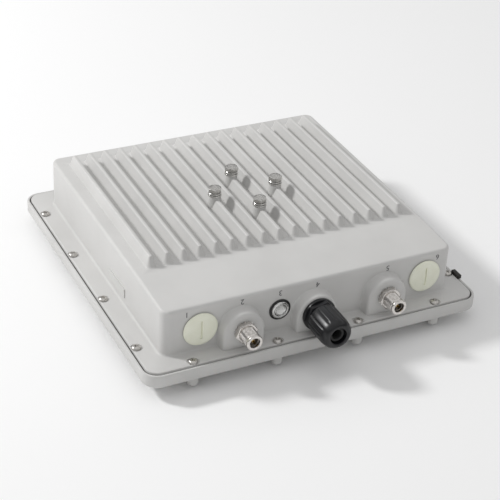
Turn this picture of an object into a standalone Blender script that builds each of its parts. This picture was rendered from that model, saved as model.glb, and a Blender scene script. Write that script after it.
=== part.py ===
"""Outdoor wireless bridge: a die-cast, finned housing closed by a radome cover.

Metres, +Z up. The unit lies on its radome with the fins up and the connector face at -Y.
The origin is at the middle of the radome's flat face, on the surface that it rests on.
"""

import math

import bmesh
import bpy
from mathutils import Matrix, Vector

GAP = 0.0003

# Levels above the radome's flat face
COVER_SHELF_BOTTOM = 0.014
COVER_SHELF_TOP = 0.0185
RIM_TOP = 0.028
FLANGE_BOTTOM = 0.0235
FLANGE_TOP = 0.0292
CAVITY_TOP = 0.076
DECK_TOP = 0.0824
FIN_TOP = 0.0937
BOSS_TOP = 0.0965

# Plan sizes, as half sides of squares centred on the origin
RIM_HALF = 0.185
LIP_INNER_HALF = 0.1822
FLANGE_HALF = 0.1808
WALL_HALF = 0.1595
CAVITY_HALF = 0.156
RADOME_HALF = 0.160
RADOME_CAVITY_HALF = 0.157
RIM_CORNER = 0.017
WALL_CORNER = 0.014

# The deck and its fins, whose sections are given as half width, front end and back end
DECK_SLOPE_START = -0.095
DECK_SLOPE = 0.037
DECK_EDGE = 0.004
FIN_PITCH = 0.0175
FIN_COUNT = 17
FIN_FOOT = (0.0060, -0.0870, 0.1424)
FIN_CREST = (0.0017, -0.0820, 0.1380)

# Connector face
PAD_FACE = -0.172
PAD_RADIUS = 0.0225
PAD_WALL = 0.0045
PAD_ARCH_Z = 0.0450
PORT_Z = 0.048
N_X = 0.0794
LEFT_PLUG_X = -0.1210
RIGHT_PLUG_X = 0.1285
PLUG_Z = 0.0535
RESET_X = -0.0363
RESET_Z = 0.054

# Fasteners
SCREW_OFFSET = 0.176
SCREW_PITCH = 0.0898
SCREW_COUNT = 4
SCREW_RADIUS = 0.002
SCREW_HEAD_RADIUS = 0.0043
SCREW_HEAD_HEIGHT = 0.0029
SCREW_LENGTH = 0.017
SCREW_BOSS_RADIUS = 0.0055
BOLT_OFFSET = 0.035
BOLT_RADIUS = 0.004
BOLT_DEPTH = 0.014
BOLT_FLATS = 0.0125
BOLT_HEAD_HEIGHT = 0.0046
BOSS_RADIUS = 0.0078
FLAT_WASHER = (0.0073, 0.0044, 0.0016)
SPRING_WASHER = (0.0068, 0.0044, 0.0018)

FORWARD = Matrix.Rotation(math.radians(90), 4, "X")


def clear_scene():
    for item in list(bpy.data.objects):
        bpy.data.objects.remove(item, do_unlink=True)


def new_collection(name):
    collection = bpy.data.collections.new(name)
    bpy.context.scene.collection.children.link(collection)
    return collection


clear_scene()
PARTS = new_collection("outdoor_wireless_bridge")
CUTTERS = new_collection("cutters")


def material(name, colour, roughness, metallic=0.0):
    made = bpy.data.materials.new(name)
    made.use_nodes = True
    shader = made.node_tree.nodes["Principled BSDF"]
    shader.inputs["Base Color"].default_value = (*colour, 1.0)
    shader.inputs["Roughness"].default_value = roughness
    shader.inputs["Metallic"].default_value = metallic
    return made


PAINT = material("light_grey_paint", (0.62, 0.62, 0.60), 0.45)
RADOME = material("radome_plastic", (0.66, 0.66, 0.64), 0.5)
RUBBER = material("black_rubber", (0.02, 0.02, 0.02), 0.7)
STEEL = material("stainless_steel", (0.6, 0.59, 0.57), 0.25, 1.0)
NICKEL = material("nickel_plating", (0.66, 0.62, 0.56), 0.15, 1.0)
IVORY = material("ivory_polyamide", (0.75, 0.76, 0.64), 0.4)
POLYAMIDE = material("black_polyamide", (0.015, 0.016, 0.02), 0.3)
PTFE = material("white_ptfe", (0.8, 0.8, 0.8), 0.4)
GOLD = material("gold_contact", (0.83, 0.6, 0.25), 0.2, 1.0)
LAMINATE = material("green_laminate", (0.02, 0.16, 0.06), 0.4)
COPPER_CLAD = material("antenna_laminate", (0.55, 0.42, 0.22), 0.4)
TIN = material("tinned_steel", (0.55, 0.55, 0.55), 0.35, 1.0)
LABEL = material("label_film", (0.55, 0.55, 0.56), 0.4)


def add_object(name, mesh, finish=None, collection=PARTS):
    made = bpy.data.objects.new(name, mesh)
    collection.objects.link(made)
    if finish:
        mesh.materials.append(finish)
    if collection is CUTTERS:
        made.hide_render = True
        made.display_type = "WIRE"
    return made


def mesh_from(name, shape):
    """The bmesh as a mesh of this name, smooth where its faces meet at a low angle."""
    bmesh.ops.recalc_face_normals(shape, faces=shape.faces)
    mesh = bpy.data.meshes.new(name)
    shape.to_mesh(mesh)
    shape.free()
    mesh.shade_smooth()
    mesh.set_sharp_from_angle(angle=math.radians(35))
    return mesh


def block_shape(half_x, half_y, low, high, corner=0.0, corner_steps=5):
    """A block centred on Z whose four upright edges are rounded."""
    shape = bmesh.new()
    bmesh.ops.create_cube(shape, size=1.0)
    bmesh.ops.scale(shape, vec=(2 * half_x, 2 * half_y, high - low), verts=shape.verts)
    bmesh.ops.translate(shape, vec=(0, 0, (low + high) / 2), verts=shape.verts)
    if corner:
        upright = [e for e in shape.edges if abs(e.verts[0].co.z - e.verts[1].co.z) > 1e-6]
        bmesh.ops.bevel(
            shape,
            geom=upright,
            offset=corner,
            segments=corner_steps,
            profile=0.5,
            affect="EDGES",
        )
    return shape


def move_shape(shape, offset):
    bmesh.ops.translate(shape, vec=offset, verts=shape.verts)
    return shape


def rod_shape(radius, start, end, sides=32):
    """A cylinder along the line from start to end."""
    start = Vector(start)
    end = Vector(end)
    shape = bmesh.new()
    bmesh.ops.create_cone(
        shape,
        cap_ends=True,
        segments=sides,
        radius1=radius,
        radius2=radius,
        depth=(end - start).length,
    )
    turn = Vector((0, 0, 1)).rotation_difference(end - start).to_matrix().to_4x4()
    turn.translation = (start + end) / 2
    bmesh.ops.transform(shape, matrix=turn, verts=shape.verts)
    return shape


def joined(shapes):
    """Several shapes in one bmesh, for a cutter with many bodies."""
    whole = bmesh.new()
    for shape in shapes:
        part = bpy.data.meshes.new("part")
        shape.to_mesh(part)
        shape.free()
        whole.from_mesh(part)
        bpy.data.meshes.remove(part)
    return whole


def combine(target, shape, operation, label):
    """Adds a Boolean to target with this shape as its hidden operand."""
    operand = add_object(f"{target.name}_{label}", mesh_from(label, shape), None, CUTTERS)
    boolean = target.modifiers.new(label, "BOOLEAN")
    boolean.operation = operation
    boolean.object = operand
    boolean.solver = "EXACT"
    return boolean


def outline_shape(points, half_depth):
    """A flat outline in XY given thickness along Z, made from a filled 2D curve."""
    curve = bpy.data.curves.new("outline", "CURVE")
    curve.dimensions = "2D"
    curve.fill_mode = "BOTH"
    curve.extrude = half_depth
    spline = curve.splines.new("POLY")
    spline.points.add(len(points) - 1)
    for point, place in zip(spline.points, points):
        point.co = (*place, 0.0, 1.0)
    spline.use_cyclic_u = True
    holder = bpy.data.objects.new("outline", curve)
    PARTS.objects.link(holder)
    bpy.context.view_layer.update()
    evaluated = holder.evaluated_get(bpy.context.evaluated_depsgraph_get())
    mesh = bpy.data.meshes.new_from_object(evaluated)
    shape = bmesh.new()
    shape.from_mesh(mesh)
    bmesh.ops.remove_doubles(shape, verts=shape.verts, dist=1e-6)
    bpy.data.objects.remove(holder)
    bpy.data.curves.remove(curve)
    bpy.data.meshes.remove(mesh)
    return shape


def arc(centre, radius, start, end, steps):
    """Points on an arc, from one angle to another in degrees."""
    angles = [math.radians(start + (end - start) * i / steps) for i in range(steps + 1)]
    return [(centre[0] + radius * math.cos(a), centre[1] + radius * math.sin(a)) for a in angles]


def turned(name, profile, finish, place, turn=None, steps=20, closed=False):
    """A profile of (radius, height) points turned round Z, then placed by turn and place.

    The profile runs down its outer side. A ring's profile is closed and comes back up inside.
    """
    mesh = bpy.data.meshes.new(name)
    points = [(radius, 0.0, height) for radius, height in profile]
    edges = [(i, i + 1) for i in range(len(points) - 1)]
    if closed:
        edges.append((len(points) - 1, 0))
    mesh.from_pydata(points, edges, [])
    made = add_object(name, mesh, finish)
    screw = made.modifiers.new("turn", "SCREW")
    screw.steps = steps
    screw.render_steps = steps
    screw.use_merge_vertices = True
    screw.merge_threshold = 0.00001
    screw.use_smooth_shade = True
    made.matrix_world = Matrix.Translation(place) @ (turn or Matrix.Identity(4))
    return made


def ring(name, size, finish, place, turn=None, steps=20):
    """A plain washer: outer radius, inner radius and thickness."""
    outer, inner, thickness = size
    profile = [(outer, thickness), (outer, 0.0), (inner, 0.0), (inner, thickness)]
    return turned(name, profile, finish, place, turn, steps, closed=True)


def hexagon_shape(flats, low, high, bore=0.0, sides=28):
    """A hexagonal prism along Z with chamfered corners left off."""
    shape = bmesh.new()
    bmesh.ops.create_cone(
        shape,
        cap_ends=True,
        segments=6,
        radius1=flats / math.sqrt(3),
        radius2=flats / math.sqrt(3),
        depth=high - low,
    )
    return move_shape(shape, (0, 0, (low + high) / 2))


def screw_places():
    """Where the 16 cover screws stand, four along each side."""
    places = []
    for side in range(4):
        turn = Matrix.Rotation(math.radians(90 * side), 2)
        for index in range(SCREW_COUNT):
            along = (index - (SCREW_COUNT - 1) / 2) * SCREW_PITCH
            places.append(tuple(turn @ Vector((along, -SCREW_OFFSET))))
    return places


def bolt_places():
    """The four bracket bolts, on the points of a square turned by 45 degrees."""
    return {
        "front": (0.0, -BOLT_OFFSET),
        "right": (BOLT_OFFSET, 0.0),
        "back": (0.0, BOLT_OFFSET),
        "left": (-BOLT_OFFSET, 0.0),
    }


def deck_shape():
    """The walls and the deck on them, which falls away slightly towards the connector face."""
    shape = block_shape(WALL_HALF, WALL_HALF, FLANGE_BOTTOM + 0.001, DECK_TOP, WALL_CORNER)
    bmesh.ops.bisect_plane(
        shape,
        geom=list(shape.verts) + list(shape.edges) + list(shape.faces),
        plane_co=(0, DECK_SLOPE_START, 0),
        plane_no=(0, 1, 0),
    )
    for vertex in shape.verts:
        if vertex.co.z > DECK_TOP - 1e-6 and vertex.co.y < DECK_SLOPE_START:
            vertex.co.z -= DECK_SLOPE * (DECK_SLOPE_START - vertex.co.y)
    shape.normal_update()
    rim = [e for e in shape.edges if sum(f.normal.z > 0.9 for f in e.link_faces) == 1]
    bmesh.ops.bevel(shape, geom=rim, offset=DECK_EDGE, segments=3, profile=0.5, affect="EDGES")
    return shape


def fin_shape(x):
    """A tapered fin with rounded ends, from inside the deck up to its narrow crest."""
    shape = bmesh.new()
    rings = []
    for (half, front, back), z in ((FIN_FOOT, DECK_TOP - 0.001), (FIN_CREST, FIN_TOP)):
        radius = half * 0.8
        corners = (
            (half - radius, back - radius, 0),
            (radius - half, back - radius, 90),
            (radius - half, front + radius, 180),
            (half - radius, front + radius, 270),
        )
        points = [p for cx, cy, start in corners for p in arc((cx, cy), radius, start, start + 90, 2)]
        rings.append([shape.verts.new((x + px, py, z)) for px, py in points])
    lower, upper = rings
    count = len(lower)
    for i in range(count):
        shape.faces.new((lower[i], lower[(i + 1) % count], upper[(i + 1) % count], upper[i]))
    shape.faces.new(list(reversed(lower)))
    shape.faces.new(upper)
    return shape


def rear_housing():
    """The die-cast body: walls, finned deck, flange and connector pads."""
    housing = add_object("rear_housing", mesh_from("rear_housing", deck_shape()), PAINT)
    fins = [fin_shape((i - (FIN_COUNT - 1) / 2) * FIN_PITCH) for i in range(FIN_COUNT)]
    combine(housing, joined(fins), "UNION", "fins")

    flange = block_shape(FLANGE_HALF, FLANGE_HALF, FLANGE_BOTTOM, FLANGE_TOP, RIM_CORNER - 0.004)
    combine(housing, flange, "UNION", "flange")

    pads = []
    for x in (-N_X, 0.0, N_X):
        outline = arc((x, -PAD_ARCH_Z), PAD_RADIUS, 180, 360, 14)
        outline += [(x + PAD_RADIUS, -FLANGE_BOTTOM - 0.002), (x - PAD_RADIUS, -FLANGE_BOTTOM - 0.002)]
        depth = -CAVITY_HALF - PAD_FACE - 0.001
        pad = outline_shape(outline, depth / 2)
        bmesh.ops.transform(pad, matrix=Matrix.Rotation(math.radians(-90), 4, "X"), verts=pad.verts)
        pads.append(move_shape(pad, (0, PAD_FACE + depth / 2, 0)))
    combine(housing, joined(pads), "UNION", "pads")

    cavity = block_shape(CAVITY_HALF, CAVITY_HALF, FLANGE_BOTTOM - 0.01, CAVITY_TOP, WALL_CORNER)
    combine(housing, cavity, "DIFFERENCE", "cavity")

    bosses = []
    for x, y in bolt_places().values():
        bosses.append(rod_shape(BOSS_RADIUS, (x, y, DECK_TOP - 0.002), (x, y, BOSS_TOP)))
    combine(housing, joined(bosses), "UNION", "bolt_bosses")

    recesses = []
    holes = []
    for x, recess, bore in ((-N_X, 0.016, 0.0082), (N_X, 0.016, 0.0082), (0.0, 0.0180, 0.0128)):
        recesses.append(rod_shape(recess, (x, -0.15, PORT_Z), (x, PAD_FACE + PAD_WALL, PORT_Z)))
        holes.append(rod_shape(bore, (x, -0.16, PORT_Z), (x, PAD_FACE - 0.01, PORT_Z)))
    for x, z, bore in ((LEFT_PLUG_X, PLUG_Z, 0.0128), (RIGHT_PLUG_X, PLUG_Z, 0.0128), (RESET_X, RESET_Z, 0.0083)):
        holes.append(rod_shape(bore, (x, -0.15, z), (x, -0.165, z)))
    combine(housing, joined(recesses), "DIFFERENCE", "recesses")
    for x, y in bolt_places().values():
        bottom = BOSS_TOP - BOLT_DEPTH
        holes.append(rod_shape(BOLT_RADIUS + GAP, (x, y, bottom), (x, y, BOSS_TOP + 0.002), 20))
    for x, y in screw_places():
        holes.append(
            rod_shape(SCREW_RADIUS + GAP, (x, y, FLANGE_BOTTOM - 0.002), (x, y, FLANGE_TOP + 0.002), 8)
        )
    combine(housing, joined(holes), "DIFFERENCE", "holes")
    return housing


def radome_cover():
    """The tray that closes the housing: shelf, raised lip, flat radome and screw bosses."""
    outer = block_shape(RIM_HALF, RIM_HALF, COVER_SHELF_BOTTOM, RIM_TOP, RIM_CORNER)
    cover = add_object("radome_cover", mesh_from("radome_cover", outer), RADOME)
    face = block_shape(RADOME_HALF, RADOME_HALF, 0.0, COVER_SHELF_TOP - 0.001, 0.022)
    lower = [e for e in face.edges if max(v.co.z for v in e.verts) < 1e-6]
    bmesh.ops.bevel(face, geom=lower, offset=0.005, segments=3, profile=0.5, affect="EDGES")
    combine(cover, face, "UNION", "radome")
    bosses = []
    for x, y in screw_places():
        foot = 0.0095 if abs(x) > abs(y) else 0.004
        bosses.append(rod_shape(SCREW_BOSS_RADIUS, (x, y, foot), (x, y, COVER_SHELF_BOTTOM + 0.002), 8))
    combine(cover, joined(bosses), "UNION", "screw_bosses")
    tray = block_shape(LIP_INNER_HALF, LIP_INNER_HALF, COVER_SHELF_TOP, RIM_TOP + 0.004, RIM_CORNER - 0.003)
    combine(cover, tray, "DIFFERENCE", "tray")
    hollow = block_shape(RADOME_CAVITY_HALF, RADOME_CAVITY_HALF, 0.003, COVER_SHELF_TOP + 0.002, 0.018)
    combine(cover, hollow, "DIFFERENCE", "hollow")
    holes = [
        rod_shape(SCREW_RADIUS + GAP, (x, y, 0.0105), (x, y, COVER_SHELF_TOP + 0.002), 8)
        for x, y in screw_places()
    ]
    combine(cover, joined(holes), "DIFFERENCE", "screw_holes")
    return cover


def cover_gasket():
    """The rubber seal under the flange, with a thin wall up the gap beside it and a pull tab."""
    low = COVER_SHELF_TOP + GAP
    high = FLANGE_BOTTOM - GAP
    outer_half = LIP_INNER_HALF - GAP
    outer = block_shape(outer_half, outer_half, low, RIM_TOP - 0.0012, RIM_CORNER - 0.0033)
    gasket = add_object("cover_gasket", mesh_from("cover_gasket", outer), RUBBER)
    inner_half = FLANGE_HALF + GAP
    above = block_shape(inner_half, inner_half, high, RIM_TOP + 0.002, RIM_CORNER - 0.0037)
    combine(gasket, above, "DIFFERENCE", "flange_seat")
    window = block_shape(0.1625, 0.1625, low - 0.002, high + 0.002, 0.014)
    combine(gasket, window, "DIFFERENCE", "window")
    neck = block_shape((outer_half - inner_half) / 2, 0.0065, RIM_TOP - 0.002, RIM_TOP + 0.002)
    head = block_shape(0.0021, 0.0065, RIM_TOP + GAP, RIM_TOP + 0.004)
    move_shape(neck, ((outer_half + inner_half) / 2, -0.1405, 0))
    move_shape(head, (inner_half + 0.0021, -0.1405, 0))
    combine(gasket, neck, "UNION", "tab_neck")
    combine(gasket, head, "UNION", "tab_head")
    holes = [
        rod_shape(SCREW_RADIUS + GAP, (x, y, low - 0.002), (x, y, high + 0.002), 8)
        for x, y in screw_places()
    ]
    combine(gasket, joined(holes), "DIFFERENCE", "screw_holes")
    return gasket


def cover_screws():
    """Sixteen pan-head screws down through the flange into the cover's bosses."""
    profile = [
        (0.0, SCREW_HEAD_HEIGHT),
        (SCREW_HEAD_RADIUS * 0.5, SCREW_HEAD_HEIGHT * 0.95),
        (SCREW_HEAD_RADIUS * 0.85, SCREW_HEAD_HEIGHT * 0.7),
        (SCREW_HEAD_RADIUS, SCREW_HEAD_HEIGHT * 0.35),
        (SCREW_HEAD_RADIUS, GAP),
        (SCREW_RADIUS, GAP),
        (SCREW_RADIUS, -SCREW_LENGTH),
        (0.0, -SCREW_LENGTH),
    ]
    for number, (x, y) in enumerate(screw_places(), start=1):
        turned(f"cover_screw_{number:02d}", profile, STEEL, (x, y, FLANGE_TOP), steps=10)


def bracket_bolts():
    """Hex bolts with a spring washer and a flat washer, screwed into the bosses on the fins."""
    flat_base = BOSS_TOP + GAP
    spring_base = flat_base + FLAT_WASHER[2] + GAP
    head_base = spring_base + SPRING_WASHER[2] + GAP
    for name, (x, y) in bolt_places().items():
        ring(f"bracket_flat_washer_{name}", FLAT_WASHER, STEEL, (x, y, flat_base))
        ring(f"bracket_spring_washer_{name}", SPRING_WASHER, STEEL, (x, y, spring_base))
        head = hexagon_shape(BOLT_FLATS, 0.0, BOLT_HEAD_HEIGHT)
        bolt = add_object(f"bracket_bolt_{name}", mesh_from("bracket_bolt", head), STEEL)
        bolt.location = (x, y, head_base)
        shank_end = BOSS_TOP - BOLT_DEPTH + 0.001 - head_base
        shank = combine(bolt, rod_shape(BOLT_RADIUS, (0, 0, shank_end), (0, 0, 0.002), 20), "UNION", "shank")
        shank.object.location = bolt.location


def n_connector(name, x):
    """A panel N jack: barrel with a flange inside, lock washer and nut on the pad outside."""
    face = (x, PAD_FACE, PORT_Z)
    barrel = [
        (0.0070, 0.0232),
        (0.0079, 0.0226),
        (0.0079, -0.0046),
        (0.0110, -0.0048),
        (0.0110, -0.0080),
        (0.0070, -0.0082),
        (0.0070, -0.0150),
        (0.0050, -0.0150),
        (0.0050, 0.0232),
    ]
    turned(f"{name}_barrel", barrel, NICKEL, face, FORWARD, closed=True)
    insulator = [(0.0047, 0.0080), (0.0047, -0.0140), (0.0018, -0.0140), (0.0018, 0.0080)]
    turned(f"{name}_insulator", insulator, PTFE, face, FORWARD, steps=20, closed=True)
    contact = [(0.0, 0.0190), (0.0015, 0.0185), (0.0015, -0.0190), (0.0, -0.0190)]
    turned(f"{name}_contact", contact, GOLD, face, FORWARD, steps=12)
    ring(f"{name}_lock_washer", (0.0112, 0.0082, 0.0008), STEEL, (x, PAD_FACE - GAP, PORT_Z), FORWARD)
    nut = add_object(f"{name}_nut", mesh_from("nut", hexagon_shape(0.019, 0.0014, 0.0060)), NICKEL)
    nut.matrix_world = Matrix.Translation(face) @ FORWARD
    bore = combine(nut, rod_shape(0.0082, (0, 0, -0.01), (0, 0, 0.02), 28), "DIFFERENCE", "bore")
    bore.object.matrix_world = nut.matrix_world


def blank_plug(name, x):
    """A slotted blanking plug screwed into a spare connector hole, on its own O-ring."""
    face = (x, -WALL_HALF, PLUG_Z)
    profile = [
        (0.0, 0.0042),
        (0.0080, 0.0040),
        (0.0140, 0.0034),
        (0.0172, 0.0026),
        (0.0180, 0.0015),
        (0.0125, 0.0015),
        (0.0125, -0.0085),
        (0.0100, -0.0085),
        (0.0100, 0.0006),
        (0.0, 0.0006),
    ]
    plug = turned(name, profile, IVORY, face, FORWARD, steps=24)
    slot = block_shape(0.0009, 0.0095, 0.0026, 0.0080)
    cut = combine(plug, slot, "DIFFERENCE", "slot")
    cut.object.matrix_world = plug.matrix_world
    ring(f"{name}_o_ring", (0.0170, 0.0128, 0.0009), RUBBER, (x, -WALL_HALF - GAP, PLUG_Z), FORWARD, 20)


def reset_button():
    """A sealed push button: bezel, sliding cap, panel seal, nut and return spring."""
    face = (RESET_X, -WALL_HALF, RESET_Z)
    panel = (RESET_X, -WALL_HALF - GAP, RESET_Z)
    ring("reset_seal", (0.0115, 0.0083, 0.0010), RUBBER, panel, FORWARD, 20)
    bezel = [
        (0.0078, 0.0030),
        (0.0090, 0.0026),
        (0.0093, 0.0016),
        (0.0080, 0.0016),
        (0.0080, -0.0180),
        (0.0030, -0.0180),
        (0.0030, -0.0165),
        (0.0066, -0.0165),
        (0.0066, 0.0030),
    ]
    turned("reset_bezel", bezel, STEEL, face, FORWARD, steps=20, closed=True)
    cap = [
        (0.0, 0.0026),
        (0.0056, 0.0026),
        (0.0063, 0.0020),
        (0.0063, -0.0050),
        (0.0024, -0.0050),
        (0.0024, -0.0145),
        (0.0, -0.0145),
    ]
    turned("reset_cap", cap, STEEL, face, FORWARD, steps=20)
    inside = (RESET_X, -CAVITY_HALF + 0.0033, RESET_Z)
    ring("reset_nut", (0.0110, 0.0083, 0.0030), NICKEL, inside, FORWARD, 20)
    reset_spring(face)


def reset_spring(face):
    """A coil of wire between the cap's shoulder and the bezel's floor."""
    turns = 4
    per_turn = 8
    radius = 0.0046
    low = -0.0158
    high = -0.0056
    curve = bpy.data.curves.new("reset_spring", "CURVE")
    curve.dimensions = "3D"
    curve.bevel_depth = 0.00035
    curve.bevel_resolution = 1
    curve.use_fill_caps = True
    spline = curve.splines.new("POLY")
    count = turns * per_turn + 1
    spline.points.add(count - 1)
    for index, point in enumerate(spline.points):
        angle = 2 * math.pi * index / per_turn
        height = low + (high - low) * index / (count - 1)
        point.co = (radius * math.cos(angle), radius * math.sin(angle), height, 1.0)
    spring = bpy.data.objects.new("reset_spring", curve)
    PARTS.objects.link(spring)
    curve.materials.append(STEEL)
    spring.matrix_world = Matrix.Translation(face) @ FORWARD


def cable_gland():
    """The data and power entry: body through the pad, seal, rubber insert, dome nut and locknut."""
    face = (0.0, PAD_FACE, PORT_Z)
    ring("gland_seal", (0.0172, 0.0128, 0.0012), RUBBER, (0, PAD_FACE - GAP, PORT_Z), FORWARD, 20)
    body = [
        (0.0118, 0.0320),
        (0.0118, 0.0100),
        (0.0175, 0.0096),
        (0.0175, 0.0018),
        (0.0125, 0.0018),
        (0.0125, -0.0130),
        (0.0098, -0.0130),
        (0.0098, 0.0320),
    ]
    turned("gland_body", body, POLYAMIDE, face, FORWARD, steps=20, closed=True)
    insert = [(0.0095, 0.0365), (0.0095, 0.0120), (0.0048, 0.0120), (0.0048, 0.0365)]
    turned("gland_insert", insert, RUBBER, face, FORWARD, steps=24, closed=True)
    dome = [
        (0.0088, 0.0440),
        (0.0118, 0.0432),
        (0.0138, 0.0402),
        (0.0145, 0.0350),
        (0.0150, 0.0320),
        (0.0150, 0.0103),
        (0.0121, 0.0103),
        (0.0121, 0.0370),
        (0.0088, 0.0405),
    ]
    turned("gland_dome_nut", dome, POLYAMIDE, face, FORWARD, steps=20, closed=True)
    nut = add_object("gland_locknut", mesh_from("locknut", hexagon_shape(0.030, 0.0, 0.0050)), POLYAMIDE)
    nut.matrix_world = Matrix.Translation((0.0, PAD_FACE + PAD_WALL + 0.0053, PORT_Z)) @ FORWARD
    bore = combine(nut, rod_shape(0.0128, (0, 0, -0.01), (0, 0, 0.02), 32), "DIFFERENCE", "bore")
    bore.object.matrix_world = nut.matrix_world


def internals():
    """The boards that the housing holds: radio board, shield, Ethernet jack and antenna panel."""
    board = block_shape(0.140, 0.128, 0.0440, 0.0456, 0.004)
    add_object("main_board", mesh_from("main_board", move_shape(board, (0, 0.018, 0))), LAMINATE)
    can_centre = (0, 0.030, 0)
    shield = block_shape(0.095, 0.080, 0.0459, 0.0640, 0.003)
    can = add_object("shield_can", mesh_from("shield_can", move_shape(shield, can_centre)), TIN)
    inside = block_shape(0.0942, 0.0792, 0.0400, 0.0632, 0.0022)
    combine(can, move_shape(inside, can_centre), "DIFFERENCE", "inside")
    jack = block_shape(0.0085, 0.0100, 0.0459, 0.0600)
    add_object("ethernet_jack", mesh_from("ethernet_jack", move_shape(jack, (0, -0.090, 0))), TIN)
    panel = block_shape(0.148, 0.148, 0.0100, 0.0130, 0.006)
    add_object("antenna_panel", mesh_from("antenna_panel", panel), COPPER_CLAD)


def side_plate():
    """A small raised plate on the left wall."""
    plate = block_shape(0.0005, 0.020, 0.0380, 0.0480)
    move_shape(plate, (-WALL_HALF - GAP - 0.0005, -0.043, 0))
    add_object("side_plate", mesh_from("side_plate", plate), LABEL)


rear_housing()
radome_cover()
cover_gasket()
cover_screws()
bracket_bolts()
n_connector("left_connector", -N_X)
n_connector("right_connector", N_X)
blank_plug("left_blank_plug", LEFT_PLUG_X)
blank_plug("right_blank_plug", RIGHT_PLUG_X)
reset_button()
cable_gland()
internals()
side_plate()
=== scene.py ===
import math

import bmesh
import bpy
from mathutils import Matrix, Vector

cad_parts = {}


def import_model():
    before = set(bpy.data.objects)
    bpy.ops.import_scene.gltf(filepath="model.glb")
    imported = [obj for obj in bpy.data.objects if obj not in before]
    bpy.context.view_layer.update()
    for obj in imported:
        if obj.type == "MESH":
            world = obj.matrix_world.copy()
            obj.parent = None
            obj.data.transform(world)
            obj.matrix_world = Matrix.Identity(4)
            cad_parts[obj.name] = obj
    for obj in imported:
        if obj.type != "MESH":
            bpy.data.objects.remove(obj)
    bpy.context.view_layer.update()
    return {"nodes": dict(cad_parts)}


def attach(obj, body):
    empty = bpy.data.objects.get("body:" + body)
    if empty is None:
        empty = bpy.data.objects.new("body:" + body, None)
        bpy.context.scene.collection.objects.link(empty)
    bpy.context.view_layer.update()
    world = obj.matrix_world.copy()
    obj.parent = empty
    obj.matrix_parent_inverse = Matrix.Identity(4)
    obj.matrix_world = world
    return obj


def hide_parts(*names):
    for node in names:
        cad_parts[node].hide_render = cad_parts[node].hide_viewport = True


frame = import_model()

# ------------------------------------------------------------------ levels and plan sizes, metres
FIN_TOP = 0.0937
DECK_TOP = 0.0824
BOSS_TOP = 0.0965
FLANGE_TOP = 0.0292
FLANGE_BOTTOM = 0.0235
CAVITY_TOP = 0.076
RIM_TOP = 0.028
SHELF_TOP = 0.0185
SHELF_BOTTOM = 0.014
RIM_HALF = 0.185
LIP_INNER = 0.1822
FLANGE_HALF = 0.1808
WALL_HALF = 0.1598
RADOME_HALF = 0.160

DECK_SLOPE_START = -0.095
DECK_SLOPE = 0.037
FIN_PITCH = 0.0175
FINS = 17
FIN_FRONT_FOOT = -0.0866
FIN_FRONT_TOP = -0.0820
FIN_BACK_FOOT = 0.1420
FIN_BACK_TOP = 0.1380

PAD_FACE = -0.172
PAD_RADIUS = 0.0225
PAD_ARCH_Z = 0.0450
PORT_Z = 0.048
N_X = 0.0794
LEFT_PLUG_X = -0.1210
RIGHT_PLUG_X = 0.1285
PLUG_Z = 0.0535
RESET_X = -0.0363
RESET_Z = 0.054
WALL_Y = -0.1595
SCREW_OFFSET = 0.176
SCREW_PITCH = 0.0898
BOLT_OFFSET = 0.035

OUTWARD = Matrix.Rotation(math.radians(90), 4, "X")


# ------------------------------------------------------------------ materials
def nodes_of(name):
    made = bpy.data.materials.new(name)
    made.use_nodes = True
    tree = made.node_tree
    shader = tree.nodes["Principled BSDF"]
    return made, tree, shader


def place_coordinates(tree):
    return tree.nodes.new("ShaderNodeTexCoord").outputs["Object"]


def noise(tree, where, scale, detail=2.0, roughness=0.5, distortion=0.0):
    made = tree.nodes.new("ShaderNodeTexNoise")
    made.inputs["Scale"].default_value = scale
    made.inputs["Detail"].default_value = detail
    made.inputs["Roughness"].default_value = roughness
    made.inputs["Distortion"].default_value = distortion
    tree.links.new(where, made.inputs["Vector"])
    return made.outputs["Fac"]


def ramp(tree, value, stops):
    """A colour ramp through (position, colour) stops."""
    made = tree.nodes.new("ShaderNodeValToRGB")
    elements = made.color_ramp.elements
    while len(elements) < len(stops):
        elements.new(0.5)
    for element, (position, colour) in zip(elements, stops):
        element.position = position
        element.color = (*colour, 1.0)
    tree.links.new(value, made.inputs["Fac"])
    return made.outputs["Color"]


def levels(tree, value, low, high, out_low, out_high):
    made = tree.nodes.new("ShaderNodeMapRange")
    made.inputs["From Min"].default_value = low
    made.inputs["From Max"].default_value = high
    made.inputs["To Min"].default_value = out_low
    made.inputs["To Max"].default_value = out_high
    tree.links.new(value, made.inputs["Value"])
    return made.outputs["Result"]


def add_values(tree, first, second, operation="ADD"):
    made = tree.nodes.new("ShaderNodeMath")
    made.operation = operation
    tree.links.new(first, made.inputs[0])
    if isinstance(second, float):
        made.inputs[1].default_value = second
    else:
        tree.links.new(second, made.inputs[1])
    return made.outputs["Value"]


def bump(tree, shader, height, strength, distance):
    made = tree.nodes.new("ShaderNodeBump")
    made.inputs["Strength"].default_value = strength
    made.inputs["Distance"].default_value = distance
    tree.links.new(height, made.inputs["Height"])
    tree.links.new(made.outputs["Normal"], shader.inputs["Normal"])
    return made


def mixed(tree, factor, first, second):
    made = tree.nodes.new("ShaderNodeMix")
    made.data_type = "RGBA"
    tree.links.new(factor, made.inputs["Factor"])
    for socket, value in ((made.inputs["A"], first), (made.inputs["B"], second)):
        if isinstance(value, tuple):
            socket.default_value = (*value, 1.0)
        else:
            tree.links.new(value, socket)
    return made.outputs["Result"]


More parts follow.
